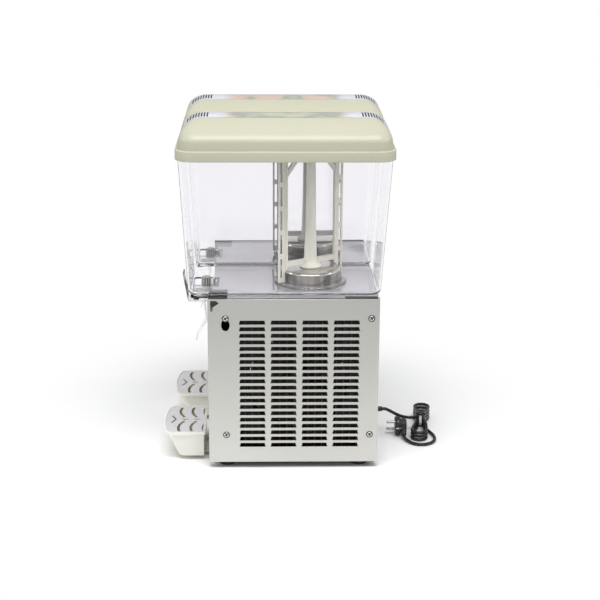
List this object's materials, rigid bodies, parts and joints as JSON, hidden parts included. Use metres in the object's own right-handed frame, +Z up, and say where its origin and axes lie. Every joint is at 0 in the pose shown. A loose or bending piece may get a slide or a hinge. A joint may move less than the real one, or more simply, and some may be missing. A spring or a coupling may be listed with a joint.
{
  "type": "refrigerated drink dispenser",
  "caption": "Counter-top chilled drink dispenser with clear lift-off bowls side by side, magnetic paddle stirrers, push-lever taps, drip trays and louvred steel cabinet.",
  "frame": {"origin": "on the table under the middle of the machine, halfway between the further drip tray's front and the lids' rear", "axes": "+Z up, -Y the front with taps and drip trays, +X the user's right hand side"},
  "size_m": [0.4236, 0.5339, 0.6553],
  "materials": {
    "panel_steel": "satin",
    "bright_steel": "polished",
    "bowl_clear": "clear",
    "lever_clear": "clear",
    "gasket": "translucent",
    "ivory_gloss": "gloss",
    "ivory_plastic": "semi-gloss",
    "strip_silver": "gloss",
    "valve_grey": "satin",
    "black_plastic": "satin",
    "switch_green": "gloss",
    "feet_rubber": "matt",
    "cord_rubber": "satin",
    "machinery": "satin",
    "condenser_alu": "satin",
    "shroud_zinc": "satin"
  },
  "bodies": {
    "cabinet": {"base_pan": "panel_steel", "foot_front_right": "feet_rubber", "foot_rear_right": "feet_rubber", "foot_front_left": "feet_rubber", "foot_rear_left": "feet_rubber", "side_panel_right": "panel_steel", "side_panel_left": "panel_steel", "top_plate": "panel_steel", "front_panel": "panel_steel", "rear_panel": "panel_steel", "nose_rest": "black_plastic", "switch_plate": "black_plastic", "control_box": "black_plastic", "compressor": "machinery", "condenser": "condenser_alu", "fan_shroud": "shroud_zinc", "fan_motor": "machinery", "evaporator_drum_right": "bright_steel", "evaporator_drum_left": "bright_steel", "drum_gasket_right": "gasket", "drum_gasket_left": "gasket", "stirrer_motor_right": "machinery", "stirrer_motor_left": "machinery", "spout_right": "black_plastic", "spout_left": "black_plastic", "cord_relief": "cord_rubber", "cord_lead": "cord_rubber", "cord_hank": "cord_rubber", "cord_tie": "black_plastic", "cord_tail": "cord_rubber", "plug": "black_plastic"},
    "fan": {"fan_rotor": "condenser_alu"},
    "power_switch": {"rocker_power": "switch_green"},
    "stirrer_switch_right": {"rocker_stirrer_right": "black_plastic"},
    "stirrer_switch_left": {"rocker_stirrer_left": "black_plastic"},
    "thermostat_right": {"thermostat_knob_right": "black_plastic"},
    "thermostat_left": {"thermostat_knob_left": "black_plastic"},
    "magnet_right": {"magnet_rotor_right": "black_plastic"},
    "bowl_right": {"bowl_right": "bowl_clear"},
    "lid_right": {"lid_right": "ivory_gloss", "lid_strip_right": "strip_silver"},
    "paddle_right": {"paddle_right": "ivory_plastic"},
    "valve_right": {"valve_piston_right": "valve_grey"},
    "lever_right": {"tap_lever_right": "lever_clear"},
    "tray_right": {"drip_tray_right": "ivory_plastic"},
    "grid_right": {"drip_grid_right": "bright_steel"},
    "magnet_left": {"magnet_rotor_left": "black_plastic"},
    "bowl_left": {"bowl_left": "bowl_clear"},
    "lid_left": {"lid_left": "ivory_gloss", "lid_strip_left": "strip_silver"},
    "paddle_left": {"paddle_left": "ivory_plastic"},
    "valve_left": {"valve_piston_left": "valve_grey"},
    "lever_left": {"tap_lever_left": "lever_clear"},
    "tray_left": {"drip_tray_left": "ivory_plastic"},
    "grid_left": {"drip_grid_left": "bright_steel"}
  },
  "joints": [
    {"name": "fan_spin", "type": "hinge", "parent": "cabinet", "child": "fan", "pos_m": [0.1524, 0.04, 0.1529], "axis": [1, 0, 0], "continuous": true},
    {"name": "switch_power", "type": "hinge", "parent": "cabinet", "child": "power_switch", "pos_m": [0, -0.1192, 0.256], "axis": [1, 0, 0], "range_deg": [-14, 0]},
    {"name": "switch_stirrer_right", "type": "hinge", "parent": "cabinet", "child": "stirrer_switch_right", "pos_m": [0.027, -0.1192, 0.256], "axis": [1, 0, 0], "range_deg": [-14, 0]},
    {"name": "switch_stirrer_left", "type": "hinge", "parent": "cabinet", "child": "stirrer_switch_left", "pos_m": [-0.027, -0.1192, 0.256], "axis": [1, 0, 0], "range_deg": [-14, 0]},
    {"name": "thermostat_right_turn", "type": "hinge", "parent": "cabinet", "child": "thermostat_right", "pos_m": [0.062, 0.198, 0.285], "axis": [0, 1, 0], "range_deg": [-150, 150]},
    {"name": "thermostat_left_turn", "type": "hinge", "parent": "cabinet", "child": "thermostat_left", "pos_m": [-0.062, 0.198, 0.285], "axis": [0, 1, 0], "range_deg": [-150, 150]},
    {"name": "magnet_spin_right", "type": "hinge", "parent": "cabinet", "child": "magnet_right", "pos_m": [0.1035, 0.065, 0.35], "axis": [0, 0, 1], "continuous": true},
    {"name": "bowl_lift_right", "type": "slide", "parent": "cabinet", "child": "bowl_right", "axis": [0, 0, 1], "range_m": [0, 0.08]},
    {"name": "lid_lift_right", "type": "slide", "parent": "bowl_right", "child": "lid_right", "axis": [0, 0, 1], "range_m": [0, 0.05]},
    {"name": "paddle_spin_right", "type": "hinge", "parent": "bowl_right", "child": "paddle_right", "pos_m": [0.1035, 0.065, 0.45], "axis": [0, 0, 1], "continuous": true},
    {"name": "valve_lift_right", "type": "slide", "parent": "bowl_right", "child": "valve_right", "axis": [0, 0, 1], "range_m": [0, 0.0042]},
    {"name": "lever_push_right", "type": "hinge", "parent": "cabinet", "child": "lever_right", "pos_m": [0.1035, -0.1573, 0.3101], "axis": [1, 0, 0], "range_deg": [0, 8], "stiffness_Nm_per_rad": 0.5, "springref_deg": -8.59},
    {"name": "tray_slide_right", "type": "slide", "parent": "cabinet", "child": "tray_right", "axis": [0, -1, 0], "range_m": [-0.01, 0.07]},
    {"name": "grid_lift_right", "type": "slide", "parent": "tray_right", "child": "grid_right", "axis": [0, 0, 1], "range_m": [0, 0.03]},
    {"name": "magnet_spin_left", "type": "hinge", "parent": "cabinet", "child": "magnet_left", "pos_m": [-0.1035, 0.065, 0.35], "axis": [0, 0, 1], "continuous": true},
    {"name": "bowl_lift_left", "type": "slide", "parent": "cabinet", "child": "bowl_left", "axis": [0, 0, 1], "range_m": [0, 0.08]},
    {"name": "lid_lift_left", "type": "slide", "parent": "bowl_left", "child": "lid_left", "axis": [0, 0, 1], "range_m": [0, 0.05]},
    {"name": "paddle_spin_left", "type": "hinge", "parent": "bowl_left", "child": "paddle_left", "pos_m": [-0.1035, 0.065, 0.45], "axis": [0, 0, 1], "continuous": true},
    {"name": "valve_lift_left", "type": "slide", "parent": "bowl_left", "child": "valve_left", "axis": [0, 0, 1], "range_m": [0, 0.0042]},
    {"name": "lever_push_left", "type": "hinge", "parent": "cabinet", "child": "lever_left", "pos_m": [-0.1035, -0.1573, 0.3101], "axis": [1, 0, 0], "range_deg": [0, 8], "stiffness_Nm_per_rad": 0.5, "springref_deg": -8.59},
    {"name": "tray_slide_left", "type": "slide", "parent": "cabinet", "child": "tray_left", "axis": [0, -1, 0], "range_m": [0, 0.07]},
    {"name": "grid_lift_left", "type": "slide", "parent": "tray_left", "child": "grid_left", "axis": [0, 0, 1], "range_m": [0, 0.03]}
  ],
  "couplings": [
    {"joint": "paddle_spin_right", "follows": "magnet_spin_right", "ratio": 1},
    {"joint": "valve_lift_right", "follows": "lever_push_right", "m_per_rad": 0.028},
    {"joint": "paddle_spin_left", "follows": "magnet_spin_left", "ratio": 1},
    {"joint": "valve_lift_left", "follows": "lever_push_left", "m_per_rad": 0.028}
  ]
}
